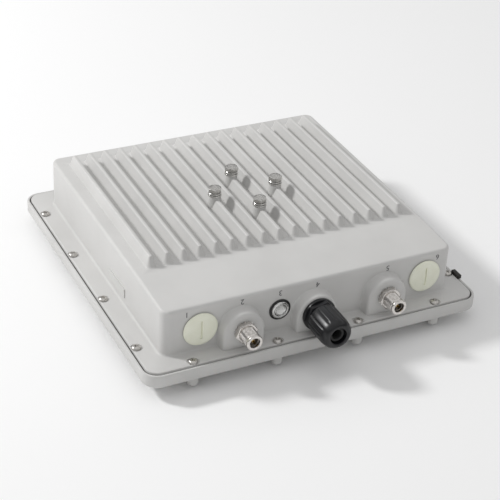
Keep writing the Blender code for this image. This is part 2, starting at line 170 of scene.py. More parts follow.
def powder_coat(name, dark, light, roughness, texture_scale=1400.0, texture_depth=0.00003):
    """Baked powder paint: orange peel, faint cloudiness and fine darker flecks."""
    made, tree, shader = nodes_of(name)
    where = place_coordinates(tree)
    cloud = noise(tree, where, 14.0, 3.0, 0.55)
    speck = noise(tree, where, 2600.0, 1.0)
    colour = ramp(tree, cloud, [(0.35, dark), (0.65, light)])
    fleck = levels(tree, speck, 0.66, 0.78, 0.0, 0.10)
    darker = tuple(0.72 * v for v in dark)
    colour = mixed(tree, fleck, colour, darker)
    tree.links.new(colour, shader.inputs["Base Color"])
    peel = noise(tree, where, texture_scale, 2.0, 0.6)
    fine = noise(tree, where, 4200.0, 1.0)
    height = add_values(tree, peel, add_values(tree, fine, 0.35, "MULTIPLY"))
    bump(tree, shader, height, 0.55, texture_depth)
    tree.links.new(
        levels(tree, peel, 0.3, 0.7, roughness - 0.05, roughness + 0.07), shader.inputs["Roughness"],
    )
    shader.inputs["Specular IOR Level"].default_value = 0.4
    return made


def turned_metal(name, colour, roughness, axis="Z", ring_scale=2600.0, depth=0.000012, tint=None):
    """Bright metal with fine lathe marks round its axis and slight staining."""
    made, tree, shader = nodes_of(name)
    where = place_coordinates(tree)
    shader.inputs["Metallic"].default_value = 1.0
    cloud = noise(tree, where, 420.0, 3.0, 0.6)
    dull = tint or tuple(0.78 * v for v in colour)
    tree.links.new(ramp(tree, cloud, [(0.35, dull), (0.6, colour)]), shader.inputs["Base Color"])
    split = tree.nodes.new("ShaderNodeSeparateXYZ")
    tree.links.new(where, split.inputs["Vector"])
    stretch = tree.nodes.new("ShaderNodeMapping")
    narrow = {"X": (1.0, 0.04, 0.04), "Y": (0.04, 1.0, 0.04), "Z": (0.04, 0.04, 1.0)}[axis]
    stretch.inputs["Scale"].default_value = narrow
    tree.links.new(where, stretch.inputs["Vector"])
    marks = noise(tree, stretch.outputs["Vector"], ring_scale, 2.0, 0.6)
    bump(tree, shader, marks, 0.5, depth)
    tree.links.new(levels(tree, cloud, 0.3, 0.7, roughness, roughness + 0.12), shader.inputs["Roughness"])
    return made


def moulded(name, dark, light, roughness, grain=900.0, depth=0.00002, coat=0.0):
    """Injection-moulded plastic: faint flow clouds, fine grain and small changes of gloss."""
    made, tree, shader = nodes_of(name)
    where = place_coordinates(tree)
    flow = noise(tree, where, 60.0, 3.0, 0.5, 0.6)
    tree.links.new(ramp(tree, flow, [(0.35, dark), (0.65, light)]), shader.inputs["Base Color"])
    fine = noise(tree, where, grain, 3.0, 0.6)
    bump(tree, shader, fine, 0.5, depth)
    tree.links.new(
        levels(tree, flow, 0.3, 0.7, roughness - 0.03, roughness + 0.07), shader.inputs["Roughness"],
    )
    shader.inputs["Coat Weight"].default_value = coat
    return made


PAINT = powder_coat("housing_paint", (0.585, 0.580, 0.568), (0.625, 0.620, 0.608), 0.46)
TRAY = powder_coat("radome_plastic", (0.57, 0.565, 0.553), (0.61, 0.605, 0.593), 0.5, 2000.0, 0.000015)
RUBBER = moulded("gasket_rubber", (0.018, 0.016, 0.014), (0.03, 0.027, 0.024), 0.62, 1400.0, 0.00003)
SCREW_STEEL = turned_metal("cover_screw_steel", (0.62, 0.60, 0.57), 0.24)
BOLT_STEEL = turned_metal("bracket_bolt_steel", (0.60, 0.59, 0.57), 0.22)
CHROME_STEEL = turned_metal("washer_steel", (0.78, 0.77, 0.75), 0.12)
NICKEL = turned_metal("connector_nickel", (0.72, 0.69, 0.66), 0.14, axis="Y")
PTFE = moulded("connector_ptfe", (0.60, 0.58, 0.54), (0.68, 0.66, 0.62), 0.45)
GOLD = turned_metal("contact_gold", (0.86, 0.62, 0.26), 0.2, axis="Y")
IVORY = moulded("plug_polyamide", (0.83, 0.84, 0.70), (0.88, 0.89, 0.76), 0.42, 700.0, 0.00002)
SEAL = moulded("seal_rubber", (0.012, 0.012, 0.013), (0.022, 0.022, 0.023), 0.55, 1400.0, 0.00003)
BUTTON_STEEL = turned_metal("button_steel", (0.70, 0.70, 0.69), 0.2, axis="Y")
SPRING_STEEL = turned_metal("spring_steel", (0.5, 0.5, 0.5), 0.28)
GLAND = moulded(
    "gland_polyamide", (0.0022, 0.0023, 0.0034), (0.0040, 0.0042, 0.0060), 0.30, 500.0, 0.00002, 0.0,
)
INSERT = moulded("insert_rubber", (0.012, 0.012, 0.012), (0.02, 0.02, 0.02), 0.6)


def circuit_board(name, ground, trace):
    """Lacquered laminate with tracks and pads in a darker or lighter tone."""
    made, tree, shader = nodes_of(name)
    where = place_coordinates(tree)
    bricks = tree.nodes.new("ShaderNodeTexBrick")
    bricks.inputs["Scale"].default_value = 90.0
    bricks.inputs["Mortar Size"].default_value = 0.03
    bricks.inputs["Color1"].default_value = (*ground, 1.0)
    bricks.inputs["Color2"].default_value = (*(0.85 * v for v in ground), 1.0)
    bricks.inputs["Mortar"].default_value = (*trace, 1.0)
    tree.links.new(where, bricks.inputs["Vector"])
    tree.links.new(bricks.outputs["Color"], shader.inputs["Base Color"])
    weave = noise(tree, where, 1800.0, 2.0)
    bump(tree, shader, weave, 0.4, 0.00002)
    tree.links.new(levels(tree, weave, 0.3, 0.7, 0.3, 0.42), shader.inputs["Roughness"])
    return made


BOARD = circuit_board("board_laminate", (0.02, 0.15, 0.06), (0.05, 0.28, 0.12))
ANTENNA = circuit_board("antenna_laminate", (0.55, 0.42, 0.22), (0.70, 0.56, 0.30))
TIN = turned_metal("tinned_steel", (0.62, 0.62, 0.61), 0.3)
PLATE = powder_coat("plate_film", (0.60, 0.60, 0.58), (0.64, 0.64, 0.62), 0.4)
INK = moulded("printed_ink", (0.05, 0.05, 0.055), (0.09, 0.09, 0.095), 0.5)


# ------------------------------------------------------------------ mesh helpers
def object_from(name, shape, finish, smooth=35.0, recalc=True):
    """A linked object from a bmesh, smooth except where faces meet at more than this angle."""
    if recalc:
        bmesh.ops.recalc_face_normals(shape, faces=shape.faces)
    mesh = bpy.data.meshes.new(name)
    shape.to_mesh(mesh)
    shape.free()
    mesh.shade_smooth()
    mesh.set_sharp_from_angle(angle=math.radians(smooth))
    made = bpy.data.objects.new(name, mesh)
    bpy.context.scene.collection.objects.link(made)
    mesh.materials.append(finish)
    return made


def lofted(rings, cap_first=True, cap_last=True, loop=False):
    """A skin through rings of equal length, each a closed list of points."""
    shape = bmesh.new()
    rows = [[shape.verts.new(point) for point in ring] for ring in rings]
    count = len(rows[0])
    pairs = list(zip(rows, rows[1:]))
    if loop:
        pairs.append((rows[-1], rows[0]))
    for lower, upper in pairs:
        for i in range(count):
            j = (i + 1) % count
            shape.faces.new((lower[i], lower[j], upper[j], upper[i]))
    if cap_first and not loop:
        shape.faces.new(list(reversed(rows[0])))
    if cap_last and not loop:
        shape.faces.new(rows[-1])
    return shape


def circle(radius, height, steps, centre=(0.0, 0.0)):
    turn = 2 * math.pi / steps
    return [
        (centre[0] + radius * math.cos(i * turn), centre[1] + radius * math.sin(i * turn), height)
        for i in range(steps)
    ]


def turned_shape(profile, steps=64, closed=False):
    """A profile of (radius, height) points turned round Z. Open profiles end on the axis."""
    if closed:
        return lofted([circle(r, z, steps) for r, z in profile], loop=True)
    inner = [(r, z) for r, z in profile if r > 1e-7]
    return lofted([circle(r, z, steps) for r, z in inner])


def rounded_profile(profile, radius, closed=False, steps=3):
    """The profile with each corner sharper than 25 degrees replaced by a small curve."""
    made = []
    count = len(profile)
    for i, (r, z) in enumerate(profile):
        if not closed and i in (0, count - 1):
            made.append((r, z))
            continue
        here = Vector((r, z))
        before = Vector(profile[i - 1]) - here
        after = Vector(profile[(i + 1) % count]) - here
        if before.length < 1e-9 or after.length < 1e-9 or before.angle(after) > math.radians(155):
            made.append((r, z))
            continue
        first = here + before.normalized() * min(radius, before.length * 0.45)
        last = here + after.normalized() * min(radius, after.length * 0.45)
        for k in range(steps + 1):
            t = k / steps
            point = first * (1 - t) ** 2 + here * (2 * t * (1 - t)) + last * t**2
            made.append((point.x, point.y))
    return made


def place(piece, matrix):
    piece.matrix_world = matrix
    return piece


def baked(piece):
    """Applies the piece's modifiers, so that its mesh is its final one."""
    bpy.context.view_layer.update()
    graph = bpy.context.evaluated_depsgraph_get()
    mesh = bpy.data.meshes.new_from_object(piece.evaluated_get(graph))
    old = piece.data
    piece.modifiers.clear()
    piece.data = mesh
    bpy.data.meshes.remove(old)
    mesh.name = piece.name
    return piece


def cut(piece, shape, operation="DIFFERENCE", bake=True):
    """Applies one Boolean with this shape, given in the piece's own coordinates."""
    operand = object_from("operand", shape, piece.data.materials[0])
    operand.matrix_world = piece.matrix_world
    boolean = piece.modifiers.new("cut", "BOOLEAN")
    boolean.operation = operation
    boolean.object = operand
    boolean.solver = "EXACT"
    baked(piece)
    mesh = operand.data
    bpy.data.objects.remove(operand)
    bpy.data.meshes.remove(mesh)
    return piece


def edge_rounded(piece, width, segments=2, angle=30.0):
    bevel = piece.modifiers.new("edge", "BEVEL")
    bevel.width = width
    bevel.segments = segments
    bevel.limit_method = "ANGLE"
    bevel.angle_limit = math.radians(angle)
    bevel.harden_normals = False
    baked(piece)
    return piece


def resharpened(piece, angle=35.0):
    piece.data.shade_smooth()
    piece.data.set_sharp_from_angle(angle=math.radians(angle))
    return piece


def joined(shapes):
    whole = bmesh.new()
    for shape in shapes:
        part = bpy.data.meshes.new("part")
        shape.to_mesh(part)
        shape.free()
        whole.from_mesh(part)
        bpy.data.meshes.remove(part)
    return whole


def rod(radius, start, end, steps=48):
    start, end = Vector(start), Vector(end)
    turn = Vector((0, 0, 1)).rotation_difference(end - start).to_matrix().to_4x4()
    turn.translation = start
    shape = lofted([circle(radius, 0.0, steps), circle(radius, (end - start).length, steps)])
    bmesh.ops.transform(shape, matrix=turn, verts=shape.verts)
    return shape


def hexagon(flats, height):
    turn = math.pi / 3
    far = flats / math.sqrt(3)
    return [(far * math.cos(i * turn), far * math.sin(i * turn), height) for i in range(6)]


def hexagon_blank(flats, low, high, chamfer_low=True, chamfer_high=True):
    """A hexagonal head or nut: a prism cut by the cone that a lathe leaves on its ends."""
    piece = object_from("blank", lofted([hexagon(flats, low), hexagon(flats, high)]), BOLT_STEEL)
    far = flats / math.sqrt(3)
    drop = (far - flats * 0.5) * 0.62
    tip = flats * 0.475
    cone = [(0.0, high)] if chamfer_high else [(0.0, high + 0.001)]
    cone += [(tip, high), (far + 0.0002, high - drop)] if chamfer_high else [(far + 0.001, high + 0.001)]
    cone += [(far + 0.0002, low + drop), (tip, low)] if chamfer_low else [(far + 0.001, low - 0.001)]
    cut(piece, turned_shape([p for p in cone if p[0] > 0], 72), "INTERSECT")
    return piece


# ------------------------------------------------------------------ the housing's upper surface
def bezier(first, corner, last, steps):
    """Points after the first on a curve that turns one corner."""
    made = []
    for k in range(1, steps + 1):
        t = k / steps
        made.append(first * (1 - t) ** 2 + corner * (2 * t * (1 - t)) + last * t**2)
    return made


WALL_CORNER = 0.0095
EDGE_ROUND = 0.0038
BASE_FILLET = 0.0030


def wall_ring(half, corner, height, steps=14):
    """A rounded square whose sides carry a point where the deck's slope starts."""
    points = []
    for quarter in range(4):
        start = math.radians(90 * quarter)
        cx = math.cos(start + math.pi / 4) * math.sqrt(2) * (half - corner)
        cy = math.sin(start + math.pi / 4) * math.sqrt(2) * (half - corner)
        for k in range(steps + 1):
            a = start + math.radians(90) * k / steps
            points.append((cx + corner * math.cos(a), cy + corner * math.sin(a)))
        if quarter == 1:
            points.append((-half, DECK_SLOPE_START))
    points.append((half, DECK_SLOPE_START))
    return [Vector((x, y, height(y))) for x, y in points]


def deck_height(y):
    return DECK_TOP - DECK_SLOPE * max(0.0, DECK_SLOPE_START - y)


def housing_shape():
    """The housing's skin without its fins: deck, walls, flange and inside."""
    rings = [wall_ring(WALL_HALF - EDGE_ROUND, WALL_CORNER - EDGE_ROUND, deck_height)]
    edge = wall_ring(WALL_HALF, WALL_CORNER, deck_height)
    below = wall_ring(WALL_HALF, WALL_CORNER, lambda y: deck_height(y) - EDGE_ROUND)
    curves = [bezier(a, b, c, 7) for a, b, c in zip(rings[0], edge, below)]
    rings += [[curve[k] for curve in curves] for k in range(7)]
    fillet_top = wall_ring(WALL_HALF, WALL_CORNER, lambda y: FLANGE_TOP + BASE_FILLET)
    wall_foot = wall_ring(WALL_HALF, WALL_CORNER, lambda y: FLANGE_TOP)
    fillet_end = wall_ring(WALL_HALF + BASE_FILLET, WALL_CORNER + BASE_FILLET, lambda y: FLANGE_TOP)
    rings.append(fillet_top)
    curves = [bezier(a, b, c, 5) for a, b, c in zip(fillet_top, wall_foot, fillet_end)]
    rings += [[curve[k] for curve in curves] for k in range(5)]
    for half, corner, z in (
        (FLANGE_HALF - 0.0012, 0.0118, FLANGE_TOP),
        (FLANGE_HALF - 0.0004, 0.0126, FLANGE_TOP - 0.0003),
        (FLANGE_HALF, 0.013, FLANGE_TOP - 0.0011),
        (FLANGE_HALF, 0.013, FLANGE_BOTTOM),
        (0.156, 0.010, FLANGE_BOTTOM),
        (0.156, 0.010, CAVITY_TOP - 0.002),
        (0.154, 0.008, CAVITY_TOP),
    ):
        rings.append(wall_ring(half, corner, lambda y, level=z: level))
    shape = bmesh.new()
    rows = [[shape.verts.new(point) for point in ring] for ring in rings]
    count = len(rows[0])
    for upper, lower in zip(rows, rows[1:]):
        for i in range(count):
            j = (i + 1) % count
            shape.faces.new((upper[j], upper[i], lower[i], lower[j]))
    deck = rows[0]
    left = next(i for i, v in enumerate(deck) if v.co.x < 0 and abs(v.co.y - DECK_SLOPE_START) < 1e-6)
    shape.faces.new(deck[: left + 1] + deck[-1:])
    shape.faces.new(deck[left:])
    shape.faces.new(list(reversed(rows[-1])))
    return shape


def fin_shape(x):
    """A tapered fin with a small fillet at its foot and a rounded crest."""
    height = FIN_TOP - DECK_TOP
    profile = [
        (-0.0010, 0.0064), (0.0, 0.0059), (0.0004, 0.0055), (0.0011, 0.0051), (0.0022, 0.0047),
        (height - 0.0012, 0.0021), (height - 0.0006, 0.0019), (height - 0.0002, 0.0016), (height, 0.0011),
    ]
    rings = []
    for rise, half in profile:
        share = max(0.0, rise) / height
        taper = 0.0047 - 0.0026 * max(0.0, rise - 0.0022) / (height - 0.0034)
        flare = half - min(taper, 0.0047)
        front = FIN_FRONT_FOOT + (FIN_FRONT_TOP - FIN_FRONT_FOOT) * share - flare
        back = FIN_BACK_FOOT + (FIN_BACK_TOP - FIN_BACK_FOOT) * share + flare
        radius = half * 0.85
        ring = []
        for quarter, (cx, cy) in enumerate((
            (half - radius, back - radius), (radius - half, back - radius),
            (radius - half, front + radius), (half - radius, front + radius),
        )):
            for k in range(7):
                a = math.radians(90 * quarter + 15 * k)
                ring.append((x + cx + radius * math.cos(a), cy + radius * math.sin(a), DECK_TOP + rise))
        rings.append(ring)
    return lofted(rings)


def arch_points(half, centre_z, foot_z, arc_steps=28, foot_steps=4):
    """A U-shaped outline in X and Z: an arch on two straight legs, closed along its foot."""
    points = []
    for k in range(foot_steps):
        points.append((half, foot_z + (centre_z - foot_z) * k / foot_steps))
    for k in range(arc_steps + 1):
        a = math.pi * k / arc_steps
        points.append((half * math.cos(a), centre_z + half * math.sin(a)))
    for k in range(1, foot_steps + 1):
        points.append((-half, centre_z + (foot_z - centre_z) * k / foot_steps))
    return points


def pad_shape(x):
    """A cable entry's raised pad: its arch, rounded front edge and a fillet onto the wall."""
    foot = FLANGE_TOP - 0.004
    front = PAD_FACE
    steps = [
        (PAD_RADIUS + 0.0040, WALL_Y + 0.0022),
        (PAD_RADIUS + 0.0024, WALL_Y + 0.0004),
        (PAD_RADIUS + 0.0011, WALL_Y - 0.0008),
        (PAD_RADIUS + 0.0004, WALL_Y - 0.0024),
        (PAD_RADIUS, WALL_Y - 0.0045),
        (PAD_RADIUS - 0.0002, front + 0.0030),
        (PAD_RADIUS - 0.0006, front + 0.0015),
        (PAD_RADIUS - 0.0015, front + 0.0005),
        (PAD_RADIUS - 0.0029, front),
    ]
    rings = []
    for half, y in steps:
        rings.append([(x + px, y, pz) for px, pz in arch_points(half, PAD_ARCH_Z, foot)])
    return lofted(rings)


housing = object_from("housing_skin", housing_shape(), PAINT, 40.0)
cut(housing, joined([fin_shape((i - (FINS - 1) / 2) * FIN_PITCH) for i in range(FINS)]), "UNION")
for pad_x in (-N_X, 0.0, N_X):
    cut(housing, pad_shape(pad_x), "UNION")
bosses = []
for bx, by in ((0, -BOLT_OFFSET), (BOLT_OFFSET, 0), (0, BOLT_OFFSET), (-BOLT_OFFSET, 0)):
    rows = (
        (0.0068, DECK_TOP - 0.002), (0.0066, BOSS_TOP - 0.0010), (0.0064, BOSS_TOP - 0.0003),
        (0.0061, BOSS_TOP),
    )
    bosses.append(lofted([circle(r, z, 48, (bx, by)) for r, z in rows]))
cut(housing, joined(bosses), "UNION")
holes = []
for px, pz, bore in ((-N_X, PORT_Z, 0.0082), (N_X, PORT_Z, 0.0082), (0.0, PORT_Z, 0.0128)):
    holes.append(rod(bore, (px, -0.150, pz), (px, -0.180, pz)))
for px, pz, bore in (
    (LEFT_PLUG_X, PLUG_Z, 0.0128), (RIGHT_PLUG_X, PLUG_Z, 0.0128), (RESET_X, RESET_Z, 0.0083),
):
    holes.append(rod(bore, (px, -0.150, pz), (px, -0.165, pz)))


def screw_places():
    places = []
    for side in range(4):
        turn = Matrix.Rotation(math.radians(90 * side), 2)
        for index in range(4):
            along = (index - 1.5) * SCREW_PITCH
            places.append(tuple(turn @ Vector((along, -SCREW_OFFSET))))
    return places


SPOT_DEPTH = 0.0007
for sx, sy in screw_places():
    holes.append(rod(0.0062, (sx, sy, FLANGE_TOP - SPOT_DEPTH), (sx, sy, FLANGE_TOP + 0.004), 40))
cut(housing, joined(holes))
resharpened(housing, 40.0)
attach(housing, "housing")
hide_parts("rear_housing")


# ------------------------------------------------------------------ the radome tray
def square_ring(half, corner, z, per_corner=14):
    points = []
    for quarter in range(4):
        start = math.radians(90 * quarter)
        cx = math.cos(start + math.pi / 4) * math.sqrt(2) * (half - corner)
        cy = math.sin(start + math.pi / 4) * math.sqrt(2) * (half - corner)
        for k in range(per_corner + 1):
            a = start + math.radians(90) * k / per_corner
            points.append((cx + corner * math.cos(a), cy + corner * math.sin(a), z))
    return points


def tray_shape():
    c = 0.017
    lip = c - (RIM_HALF - LIP_INNER)
    rows = [
        (0.1500, 0.016, 0.0),
        (RADOME_HALF - 0.0052, 0.0190, 0.0),
        (RADOME_HALF - 0.0030, 0.0205, 0.0005),
        (RADOME_HALF - 0.0012, 0.0216, 0.0020),
        (RADOME_HALF, 0.0220, 0.0045),
        (RADOME_HALF + 0.0004, 0.0222, 0.0115),
        (RADOME_HALF + 0.0012, 0.0222, 0.0132),
        (RADOME_HALF + 0.0030, 0.0215, SHELF_BOTTOM),
        (RIM_HALF - 0.0020, c - 0.0020, SHELF_BOTTOM),
        (RIM_HALF - 0.0006, c - 0.0006, SHELF_BOTTOM + 0.0006),
        (RIM_HALF, c, SHELF_BOTTOM + 0.0020),
        (RIM_HALF, c, RIM_TOP - 0.0016),
        (RIM_HALF - 0.0005, c - 0.0005, RIM_TOP - 0.0004),
        (RIM_HALF - 0.0014, c - 0.0014, RIM_TOP),
        (LIP_INNER + 0.0007, lip + 0.0007, RIM_TOP),
        (LIP_INNER + 0.0001, lip + 0.0001, RIM_TOP - 0.0005),
        (LIP_INNER, lip, RIM_TOP - 0.0012),
        (LIP_INNER, lip, SHELF_TOP + 0.0004),
        (LIP_INNER - 0.0004, lip - 0.0004, SHELF_TOP),
        (0.157, 0.018, SHELF_TOP),
        (0.157, 0.018, 0.0034),
        (0.156, 0.017, 0.003),
    ]
    return lofted([square_ring(half, corner, z) for half, corner, z in rows])


tray = object_from("radome_tray", tray_shape(), TRAY, 40.0)
stubs = []
for sx, sy in screw_places():
    foot = 0.0095 if abs(sx) > abs(sy) else 0.0040
    stub_profile = [
        (0.0040, foot), (0.0051, foot + 0.0004), (0.0056, foot + 0.0017), (0.0059, SHELF_BOTTOM + 0.002),
    ]
    rings = [circle(r, z, 40, (sx, sy)) for r, z in stub_profile]
    stubs.append(lofted(rings))
cut(tray, joined(stubs), "UNION")
cut(tray, joined([rod(0.0023, (x, y, 0.0112), (x, y, SHELF_TOP + 0.003), 20) for x, y in screw_places()]))
resharpened(tray, 40.0)
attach(tray, "housing")
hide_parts("radome_cover")


# ------------------------------------------------------------------ screws, bolts and washers
def cross_recess(width, length, depth, top):
    """A Phillips recess: two crossed, tapering blades."""
    blades = []
    for turn in (0, 90):
        rows = []
        for share, z in ((1.0, top + 0.0004), (0.92, top), (0.35, top - depth)):
            half_l, half_w = length / 2 * share, width / 2 * (0.55 + 0.45 * share)
            rows.append([(half_l, half_w, z), (-half_l, half_w, z), (-half_l, -half_w, z), (half_l, -half_w, z)])
        blade = lofted(rows)
        bmesh.ops.rotate(
            blade, cent=(0, 0, 0), matrix=Matrix.Rotation(math.radians(turn), 3, "Z"), verts=blade.verts,
        )
        blades.append(blade)
    return blades


def screw_mesh():
    head = [
        (0.0012, 0.00310),
        (0.0024, 0.00298),
        (0.0035, 0.00262),
        (0.0042, 0.00210),
        (0.0046, 0.00145),
        (0.0048, 0.00090),
        (0.0048, 0.00040),
        (0.0046, 0.00012),
        (0.0020, 0.00010),
    ]
    pitch = 0.0007
    z = 0.0
    while z > -0.0162:
        head.append((0.0020, z - 0.0001))
        head.append((0.0017, z - pitch / 2))
        z -= pitch
    head.append((0.0010, -0.0168))
    piece = object_from("screw_master", turned_shape(list(reversed(head)), 40), SCREW_STEEL)
    for blade in cross_recess(0.0010, 0.0050, 0.0017, 0.0030):
        cut(piece, blade)
    resharpened(piece, 30.0)
    return piece


master = screw_mesh()
for number, (sx, sy) in enumerate(screw_places(), start=1):
    piece = bpy.data.objects.new(f"pan_screw_{number:02d}", master.data.copy())
    bpy.context.scene.collection.objects.link(piece)
    turn = Matrix.Rotation(math.radians(37 * number % 90), 4, "Z")
    place(piece, Matrix.Translation((sx, sy, FLANGE_TOP - SPOT_DEPTH + 0.0001)) @ turn)
    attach(piece, "housing")
    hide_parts(f"cover_screw_{number:02d}")
bpy.data.objects.remove(master)


def bolt_piece(name):
    """A hexagon bolt: chamfered head with a turned bearing face, and a threaded shank."""
    piece = hexagon_blank(0.0125, 0.0003, 0.0046, chamfer_low=False)
    piece.name = name
    piece.data.name = name
    shank = [(0.0060, 0.0005), (0.0060, 0.0), (0.0040, 0.0), (0.0040, -0.0060)]
    z = -0.0062
    while z > -0.0165:
        shank += [(0.0040, z), (0.0035, z - 0.000625)]
        z -= 0.00125
    shank.append((0.0030, z))
    cut(piece, turned_shape([(0.0055, 0.0010)] + shank, 48), "UNION")
    edge_rounded(piece, 0.00018, 2, 25.0)
    return resharpened(piece, 30.0)


def split_ring(name, outer, inner, height, lift):
    """A spring washer: a square-section ring cut through and sprung apart."""
    steps = 60
    gap = math.radians(7)
    rings = []
    r = 0.00015
    section = [
        (inner + r, 0.0), (outer - r, 0.0), (outer, r), (outer, height - r),
        (outer - r, height), (inner + r, height), (inner, height - r), (inner, r),
    ]
    for k in range(steps + 1):
        a = gap + (2 * math.pi - 2 * gap) * k / steps
        rise = lift * (k / steps - 0.5)
        rings.append([(q * math.cos(a), q * math.sin(a), z + rise) for q, z in section])
    return resharpened(object_from(name, lofted(rings), CHROME_STEEL, 30.0), 30.0)


def flat_ring(name, outer, inner, height, finish):
    profile = rounded_profile([(outer, height), (outer, 0.0), (inner, 0.0), (inner, height)], 0.0003, True)
    return object_from(name, turned_shape(profile, 64, True), finish, 40.0)


for name, (bx, by) in {
    "front": (0, -BOLT_OFFSET), "right": (BOLT_OFFSET, 0), "back": (0, BOLT_OFFSET), "left": (-BOLT_OFFSET, 0)
}.items():
    washer_base = BOSS_TOP + 0.0003
    spring_base = washer_base + 0.0016 + 0.0003
    head_base = spring_base + 0.0018 + 0.0003
    spin = Matrix.Rotation(math.radians({"front": 12, "right": 41, "back": 25, "left": 3}[name]), 4, "Z")
    piece = place(bolt_piece(f"hex_bolt_{name}"), Matrix.Translation((bx, by, head_base)) @ spin)
    piece.data.materials.clear()
    piece.data.materials.append(BOLT_STEEL)
    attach(piece, f"bolt_{name}")
    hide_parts(f"bracket_bolt_{name}")
    piece = place(
        flat_ring(f"plain_washer_{name}", 0.0073, 0.0044, 0.0016, CHROME_STEEL),
        Matrix.Translation((bx, by, washer_base)),
    )
    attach(piece, f"washers_{name}")
    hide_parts(f"bracket_flat_washer_{name}")
    piece = place(
        split_ring(f"split_washer_{name}", 0.0068, 0.0044, 0.0017, 0.0003),
        Matrix.Translation((bx, by, spring_base + 0.0001)) @ spin,
    )
    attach(piece, f"washers_{name}")
    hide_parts(f"bracket_spring_washer_{name}")


# ------------------------------------------------------------------ N connectors
def threaded_shape(profile_before, thread, profile_after, steps=72):
    """A turned, closed profile with a helical thread on one stretch of its outer side."""
    radius, depth, top, bottom, pitch = thread
    count = max(2, int((top - bottom) / (pitch / 6)))
    rings = [circle(r, z, steps) for r, z in profile_before]
    for k in range(count + 1):
        z = top + (bottom - top) * k / count
        ring = []
        for i in range(steps):
            a = 2 * math.pi * i / steps
            phase = ((z + pitch * a / (2 * math.pi)) / pitch) % 1.0
            ease = min(1.0, (top - z) / pitch, (z - bottom) / pitch)
            r = radius - depth * max(0.0, ease) * (1 - abs(2 * phase - 1))
            ring.append((r * math.cos(a), r * math.sin(a), z))
        rings.append(ring)
    rings += [circle(r, z, steps) for r, z in profile_after]
    return lofted(rings, loop=True)


def toothed_ring(name, outer, inner, thickness, teeth=16):
    """An external-tooth lock washer: twisted teeth round a thin ring."""
    steps = teeth * 6
    rings = []
    for r, share in ((inner, 0.0), (inner + (outer - inner) * 0.45, 0.0), (outer, 1.0)):
        ring = []
        for i in range(steps):
            a = 2 * math.pi * i / steps
            phase = (i % 6) / 6
            tooth = 1.0 if phase < 0.5 else 0.0
            reach = r if share == 0.0 or tooth else inner + (outer - inner) * 0.62
            twist = share * tooth * (phase - 0.25) * 2 * thickness * 0.9
            ring.append((reach * math.cos(a), reach * math.sin(a), thickness + twist))
        rings.append(ring)
    lower = [[(x, y, z - thickness * 0.9) for x, y, z in ring] for ring in reversed(rings)]
    return object_from(name, lofted(rings + lower, loop=True), CHROME_STEEL, 25.0)


def connector(side, x):
    face = Matrix.Translation((x, PAD_FACE, PORT_Z)) @ OUTWARD
    before = rounded_profile(
        [
            (0.0052, 0.0195), (0.0052, 0.0226), (0.0056, 0.0232), (0.0079, 0.0232), (0.0085, 0.0226),
            (0.0085, 0.0206), (0.0077, 0.0200),
        ],
        0.0002,
    )
    after = [
        (0.0079, 0.0010), (0.0079, -0.0046), (0.0110, -0.0048), (0.0110, -0.0080), (0.0070, -0.0082),
        (0.0070, -0.0150), (0.0050, -0.0150), (0.0050, 0.0195),
    ]
    barrel = object_from(
        f"{side}_n_barrel",
        threaded_shape(before, (0.0084, 0.00045, 0.0194, 0.0068, 0.00106), after),
        NICKEL, 35.0,
    )
    place(barrel, face)
    nut = hexagon_blank(0.0208, 0.0012, 0.0068)
    nut.name = f"{side}_n_nut"
    nut.data.name = nut.name
    cut(nut, rod(0.0082, (0, 0, -0.01), (0, 0, 0.02), 56))
    edge_rounded(nut, 0.0002, 2, 25.0)
    resharpened(nut, 30.0)
    nut.data.materials.clear()
    nut.data.materials.append(NICKEL)
    place(nut, face @ Matrix.Rotation(math.radians(9), 4, "Z"))
    washer = place(
        toothed_ring(f"{side}_n_lock_washer", 0.0112, 0.0083, 0.0008),
        face @ Matrix.Translation((0, 0, 0.0003)),
    )
    insulator = object_from(
        f"{side}_n_insulator",
        turned_shape(
            rounded_profile(
                [(0.0047, 0.0080), (0.0047, -0.0140), (0.0018, -0.0140), (0.0018, 0.0080)], 0.0003, True,
            ),
            56, True,
        ),
        PTFE, 40.0,
    )
    place(insulator, face)
    contact_profile = [
        (0.0008, -0.0190), (0.0015, -0.0185), (0.0015, 0.0180), (0.0014, 0.0188), (0.0010, 0.0190),
        (0.0009, 0.0150),
    ]
    contact = object_from(f"{side}_n_contact", turned_shape(contact_profile, 32), GOLD, 35.0)
    for turn in (0, 90):
        cut(contact, contact_slot(turn))
    place(contact, face)
    for piece, node, slot in (
        (barrel, "barrel", "connector_nickel"),
        (nut, "nut", "connector_nickel"),
        (washer, "lock_washer", "washer_steel"),
        (insulator, "insulator", "connector_ptfe"),
        (contact, "contact", "contact_gold"),
    ):
        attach(piece, "housing")
        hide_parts(f"{side}_connector_{node}")


def contact_slot(turn):
    """A thin blade, for the slots that let a socket contact spring open."""
    rows = [
        [(0.002, 0.00015, z), (-0.002, 0.00015, z), (-0.002, -0.00015, z), (0.002, -0.00015, z)]
        for z in (0.0125, 0.0200)
    ]
    blade = lofted(rows)
    bmesh.ops.rotate(
        blade, cent=(0, 0, 0), matrix=Matrix.Rotation(math.radians(turn), 3, "Z"), verts=blade.verts,
    )
    return blade


connector("left", -N_X)
connector("right", N_X)


